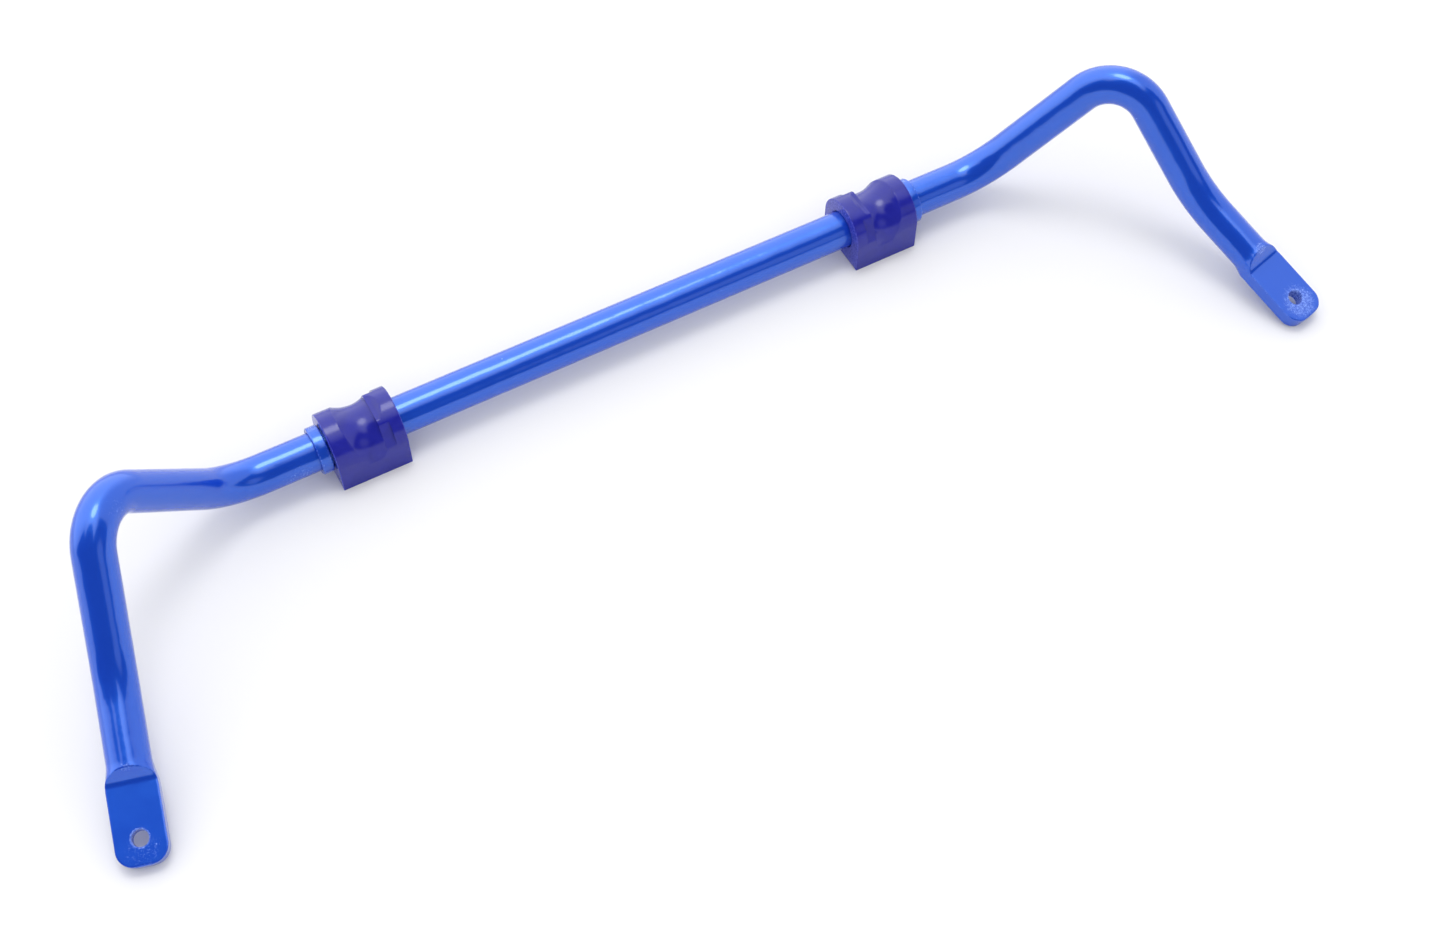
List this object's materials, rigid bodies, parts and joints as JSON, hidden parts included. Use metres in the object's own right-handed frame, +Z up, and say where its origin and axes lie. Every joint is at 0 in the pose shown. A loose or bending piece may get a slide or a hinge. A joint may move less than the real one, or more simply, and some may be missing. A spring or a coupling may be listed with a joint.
{
  "type": "vehicle sway bar",
  "caption": "Powder-coated spring-steel sway bar with humped arms, flattened drilled link ends, crimped stop collars and split polyurethane D-bushes that turn on the bar.",
  "frame": {"origin": "on the surface the part stands on, under the middle of its outline; the axis of the straight bar runs along X at y = 94.53 mm and z = 21.3 mm", "axes": "+X along the straight of the bar, towards its right end; -Y the way the arms reach; +Z up, out of the flat bases of the bushes"},
  "size_m": [0.8548, 0.2334, 0.1152],
  "materials": {
    "bar_coat": "gloss cobalt-blue powder coat on spring steel",
    "collar_coat": "gloss cobalt-blue powder coat on steel",
    "bush": "satin blue-violet moulded polyurethane"
  },
  "bodies": {
    "bar_left": {"bar_left_half": "bar_coat", "left_collar": "collar_coat"},
    "bar_right": {"bar_right_half": "bar_coat", "right_collar": "collar_coat"},
    "left_bush": {"left_bush": "bush"},
    "right_bush": {"right_bush": "bush"}
  },
  "joints": [
    {"name": "bar_twist", "type": "hinge", "parent": "bar_left", "child": "bar_right", "pos_m": [0, 0.09453, 0.0213], "axis": [1, 0, 0], "range_deg": [-20, 20], "stiffness_Nm_per_rad": 5200},
    {"name": "left_bush_turn", "type": "hinge", "parent": "bar_left", "child": "left_bush", "pos_m": [-0.1915, 0.09453, 0.0213], "axis": [1, 0, 0], "range_deg": [-30, 30]},
    {"name": "right_bush_turn", "type": "hinge", "parent": "bar_right", "child": "right_bush", "pos_m": [0.1915, 0.09453, 0.0213], "axis": [1, 0, 0], "range_deg": [-30, 30]}
  ]
}
